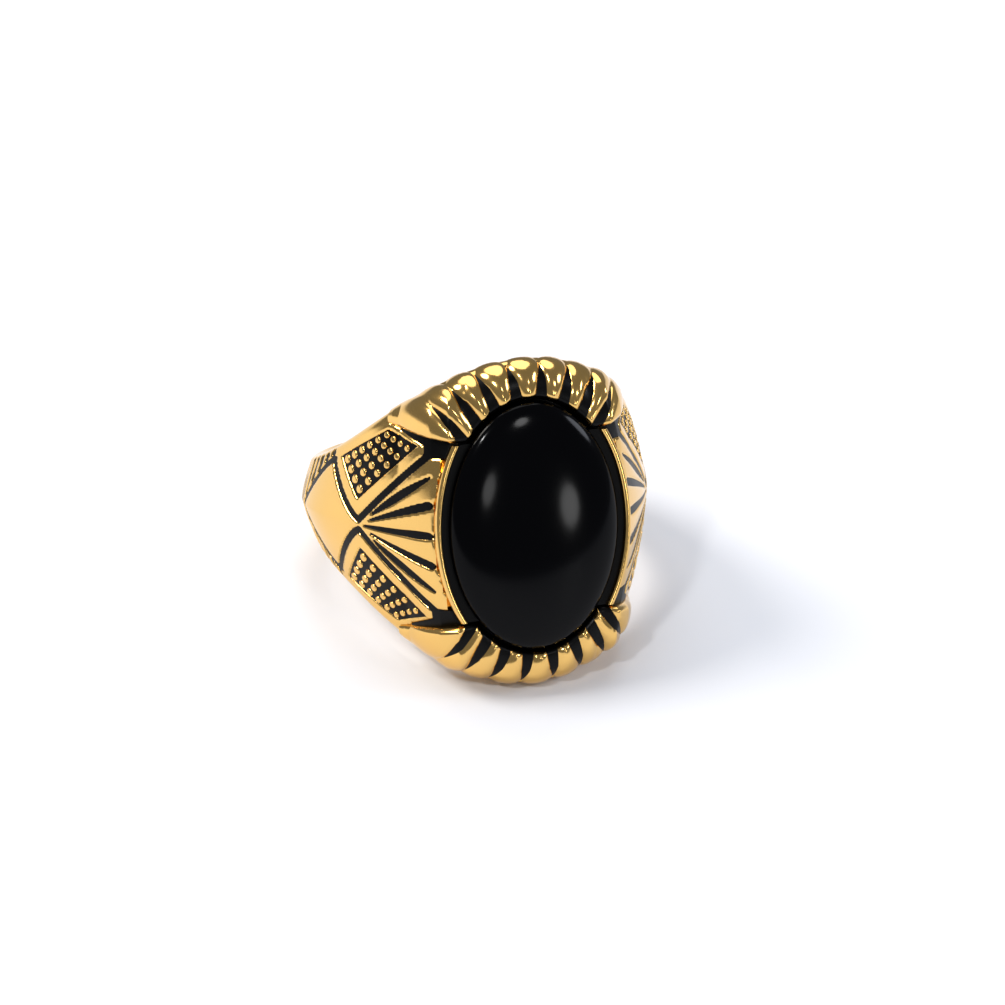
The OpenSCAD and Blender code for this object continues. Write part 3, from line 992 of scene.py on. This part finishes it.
@dataclass(frozen=True)
class ShoulderEnamel:
    """The black fills of one shoulder's engraving."""

    engraving: Engraving
    side: int
    spread: float = 0.12

    def on_face(self, a: np.ndarray, z: np.ndarray, lift: float) -> np.ndarray:
        """Places on this shoulder, a distance off the face."""
        casting = self.engraving.casting
        return casting.at(a * self.side, casting.face(a, z) + lift, z)

    def line(self, stroke: Stroke, end: int) -> bpy.types.Object:
        """Fills one stroke.

        Args:
            stroke: The stroke on the upper half.
            end: 1 for the upper half, -1 for the lower.

        Returns:
            The fill.
        """
        path = np.array(stroke.path)
        u = self.engraving.casting.unrolled(path[:, 0])
        flat = np.stack([u, path[:, 1]], axis=-1)
        way = np.gradient(flat, axis=0)
        way /= np.linalg.norm(way, axis=1, keepdims=True)
        across = np.stack([-way[:, 1], way[:, 0]], axis=-1) * (np.array(stroke.half) + self.spread)[:, None]
        first, last = flat[0] - way[0] * stroke.half[0], flat[-1] + way[-1] * stroke.half[-1]
        flat = np.concatenate([[first], flat, [last]])
        across = np.concatenate([across[:1] * 0.7, across, across[-1:] * 0.7])
        mesh = np.linspace(0, 180, 721)
        run = self.engraving.casting.unrolled(mesh)
        rings = []
        top, foot = -self.engraving.enamel_low, -self.engraving.enamel_foot
        corners = ((across, top), (0 * across, top), (-across, top), (-across, foot), (across, foot))
        for off, level in corners:
            points = flat + off
            rings.append(self.on_face(np.interp(points[:, 0], run, mesh), points[:, 1] * end, level))
        return forged_bar("line_fill", np.stack(rings, axis=1))

    def patch(
        self, corners: tuple[tuple[float, float], ...], end: int, spread: float
    ) -> bpy.types.Object:
        """Fills a four-sided patch.

        Args:
            corners: Its corners on the upper half.
            end: 1 for the upper half, -1 for the lower.
            spread: How far it reaches past its outline.

        Returns:
            The fill.
        """
        c = np.array(corners)
        c = c + (c - c.mean(axis=0)) * spread / 2.0
        rings = []
        across = np.linspace(0, 1, 17)[:, None]
        for t in np.linspace(0, 1, 33):
            low, high = c[0] + (c[3] - c[0]) * t, c[1] + (c[2] - c[1]) * t
            line = low + (high - low) * across
            top = self.on_face(line[:, 0], line[:, 1] * end, -self.engraving.enamel_low)
            foot = self.on_face(line[::-1, 0], line[::-1, 1] * end, -self.engraving.enamel_foot)
            rings.append(np.concatenate([top, foot]))
        return forged_bar("patch_fill", np.array(rings))

    def finish(self, name: str, fills: list[bpy.types.Object], node: str) -> None:
        """Joins fills into one piece and lays it down.

        Args:
            name: The piece's name.
            fills: The fills to join.
            node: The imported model's node that they stand for.
        """
        piece = joined(name, fills)
        smoothed(piece, 40)
        lay_down(piece, node, Slot.BLACK_ENAMEL)

    def build(self) -> None:
        """Builds the fills of all four kinds."""
        hand = "left" if self.side > 0 else "right"
        rays = [self.line(s, end) for s in self.engraving.rays() for end in (1, -1)]
        self.finish(f"{hand}_ray_fill", rays, f"{hand}_ray_enamel")
        flutes = [self.line(s, end) for s in self.engraving.flute_strokes() for end in (1, -1)]
        self.finish(f"{hand}_flute_fill", flutes, f"{hand}_flute_enamel")
        dots = [self.patch(self.engraving.panel, end, 0.06) for end in (1, -1)]
        self.finish(f"{hand}_panel_fill", dots, f"{hand}_dot_enamel")
        pockets = [self.patch(patch, end, 0.05) for patch in self.engraving.pockets for end in (1, -1)]
        self.finish(f"{hand}_pocket_fill", pockets, f"{hand}_pocket_enamel")


# ---- Stone and rim ----


@dataclass(frozen=True)
class Setting:
    """The oval stone and the thin rim on both its sides."""

    casting: Casting
    collar: Collar
    girdle: float = 1.2
    dome: float = 1.5
    cement: float = 0.15
    rim_thick: float = 0.45
    rim_proud: float = 0.5

    def stone(self) -> None:
        """Grinds the cabochon from a ball: pressed to the oval dome, cut flat, girdle drawn down."""
        across, along = self.collar.stone_half
        base = self.casting.seat + self.cement
        shoulder = -(base + self.girdle)
        clear_bench()
        bpy.ops.mesh.primitive_uv_sphere_add(
            segments=144, ring_count=72, radius=1, rotation=(math.pi / 2, 0, 0)
        )
        stone = bpy.context.object
        stone.name = "oval_cabochon"
        bpy.ops.object.transform_apply(location=True, rotation=True, scale=True)
        bpy.ops.object.mode_set(mode="EDIT")
        bpy.ops.mesh.select_all(action="SELECT")
        bpy.ops.transform.resize(value=(across, self.dome, along))
        bpy.ops.transform.translate(value=(0, shoulder, 0))
        bpy.ops.mesh.bisect(
            plane_co=(0, shoulder, 0), plane_no=(0, 1, 0), use_fill=True, clear_outer=True
        )
        bpy.ops.mesh.extrude_region_move(TRANSFORM_OT_translate={"value": (0, self.girdle, 0)})
        bpy.ops.object.mode_set(mode="OBJECT")
        face_outwards(stone)
        smoothed(stone, 50)
        lay_down(stone, "stone", Slot.BLACK_STONE)

    def rim(self) -> None:
        """Draws the rim as an oval hoop with a rounded top, and trims it to its two arcs."""
        t = np.radians(np.arange(0, 360, 1.5))[:, None]
        radius = self.rim_thick / 2
        top = self.casting.deck + self.rim_proud - radius
        turn = np.radians(np.linspace(0, 180, 13))[None, :]
        out = np.concatenate([radius * np.cos(turn), [[-radius, -radius, radius, radius]]], axis=1)
        foot = self.casting.seat
        middle = (top + foot) / 2
        high = np.concatenate(
            [top + radius * np.sin(turn), [[middle, foot, foot, middle]]], axis=1
        )
        a, b = self.casting.rim_a - radius, self.casting.rim_b - radius
        place = np.stack(
            np.broadcast_arrays((a + out) * np.sin(t), -high + 0 * t, (b + out) * np.cos(t)), axis=-1
        )
        rim = forged_hoop("bezel_rim_arcs", place)
        cut = self.collar.tongue_z - 0.02
        pick(rim)
        bpy.ops.object.mode_set(mode="EDIT")
        for side in (1, -1):
            bpy.ops.mesh.select_all(action="SELECT")
            bpy.ops.mesh.bisect(
                plane_co=(0, 0, side * cut), plane_no=(0, 0, side), use_fill=True, clear_outer=True
            )
        bpy.ops.object.mode_set(mode="OBJECT")
        face_outwards(rim)
        smoothed(rim, 50)
        lay_down(rim, "bezel_rim", Slot.POLISHED_GOLD)

    def build(self) -> None:
        """Builds the stone and the rim, and dresses the cement that stays as packed in black, painted shade
        and dark reflection for the gap round the stone.
        """
        self.stone()
        self.rim()
        cement = frame["nodes"]["stone_cement"]
        # The cement's black is painted shade and dark reflection in the gap round the stone
        for slot in cement.material_slots:
            slot.material = GAP_SHADE_FILL.made()
        log.info("stone_cement: kept as packed, in %s", GAP_SHADE_FILL.name)


# ---- Studio ----


@dataclass(frozen=True)
class Lamp:
    """A soft light: where it hangs from the ring, its size in metres and its strength."""

    name: str
    azimuth: float
    elevation: float
    away: float
    size: float
    watts: float
    tint: str = "FFFFFF"


@dataclass(frozen=True)
class Studio:
    """Pale floor, lights and the camera; the small lamps make the stone's own highlights."""

    glow: float = 0.3
    camera_azimuth: float = -20.992
    camera_elevation: float = 34.545
    camera_roll: float = 5.329
    camera_away: float = 0.26
    lens: float = 134.1
    shift: tuple[float, float] = (0.029, -0.016)
    lamps: tuple[Lamp, ...] = field(
        default=(
            Lamp("key", -112.0, 46.0, 0.5, 0.22, 1.9, "FFF8EE"),
            Lamp("overhead", 172.0, 60.0, 0.6, 0.6, 1.9),
            Lamp("right", 75.0, 28.0, 0.5, 0.16, 0.6, "EEF3FF"),
            Lamp("spark", -52.0, 49.0, 0.5, 0.035, 0.5),
            Lamp("upper_glint", 13.7, 45.5, 0.5, 0.08, 0.22),
            Lamp("left_glint", -5.6, 19.7, 0.5, 0.07, 0.09),
            Lamp("right_glint", 29.7, 10.0, 0.5, 0.07, 0.12),
        )
    )

    def way(self, azimuth: float, elevation: float) -> Vector:
        """Direction from the ring, azimuth from -Y towards +X."""
        a, e = math.radians(azimuth), math.radians(elevation)
        return Vector((math.sin(a) * math.cos(e), -math.cos(a) * math.cos(e), math.sin(e)))

    def floor(self) -> None:
        """A wide pale floor that the ring rests on."""
        clear_bench()
        height = frame["record"]["mounts"][1]["pos_m"][2]
        bpy.ops.mesh.primitive_plane_add(size=4.0, location=(0, 0, height))
        bpy.ops.object.transform_apply(location=True, rotation=True, scale=True)
        floor = bpy.context.object
        floor.name = "studio_floor"
        paint = Finish("matt_white_board", "E6E9F0", roughness=0.55, grain_mm=2.0)
        floor.data.materials.append(paint.made())

    def light(self) -> None:
        """Hangs the lamps and sets the room's own glow."""
        for lamp in self.lamps:
            data = bpy.data.lights.new(lamp.name, "AREA")
            data.shape = "DISK"
            data.size = lamp.size
            data.energy = lamp.watts
            data.color = srgb(lamp.tint)[:3]
            item = bpy.data.objects.new(f"lamp_{lamp.name}", data)
            bpy.context.scene.collection.objects.link(item)
            way = self.way(lamp.azimuth, lamp.elevation)
            item.location = way * lamp.away
            item.rotation_euler = way.to_track_quat("Z", "Y").to_euler()
        world = bpy.data.worlds.new("studio_room")
        bpy.context.scene.world = world
        world.use_nodes = True
        glow = world.node_tree.nodes["Background"]
        glow.inputs["Color"].default_value = srgb("DDE3EE")
        glow.inputs["Strength"].default_value = self.glow
        # A plain view keeps the gold's own colour, which a filmic one would bleach
        bpy.context.scene.view_settings.view_transform = "Standard"

    def camera(self) -> None:
        """Sets the camera up."""
        data = bpy.data.cameras.new("camera")
        data.lens = self.lens
        data.sensor_width = 36.0
        data.shift_x, data.shift_y = self.shift
        data.clip_start = 0.01
        item = bpy.data.objects.new("camera", data)
        bpy.context.scene.collection.objects.link(item)
        way = self.way(self.camera_azimuth, self.camera_elevation)
        item.location = way * self.camera_away
        roll = Matrix.Rotation(math.radians(self.camera_roll), 4, "Z")
        item.rotation_euler = (way.to_track_quat("Z", "Y").to_matrix().to_4x4() @ roll).to_euler()
        bpy.context.scene.camera = item

    def build(self) -> None:
        """Builds the studio."""
        self.floor()
        self.light()
        self.camera()


def main() -> None:
    """Builds the ring's pieces in order, then the studio round them."""
    logging.basicConfig(level=logging.INFO, format="%(name)s: %(message)s")
    casting = Casting()
    engraving = Engraving(casting)
    collar = Collar(casting)
    Shank(casting, engraving, collar).build()
    for side in (1, -1):
        ShoulderEnamel(engraving, side).build()
    for end, name in ((1, "upper_collar"), (-1, "lower_collar")):
        collar.build(end, name)
    Setting(casting, collar).build()
    Studio().build()


if __name__ == "__main__":
    main()
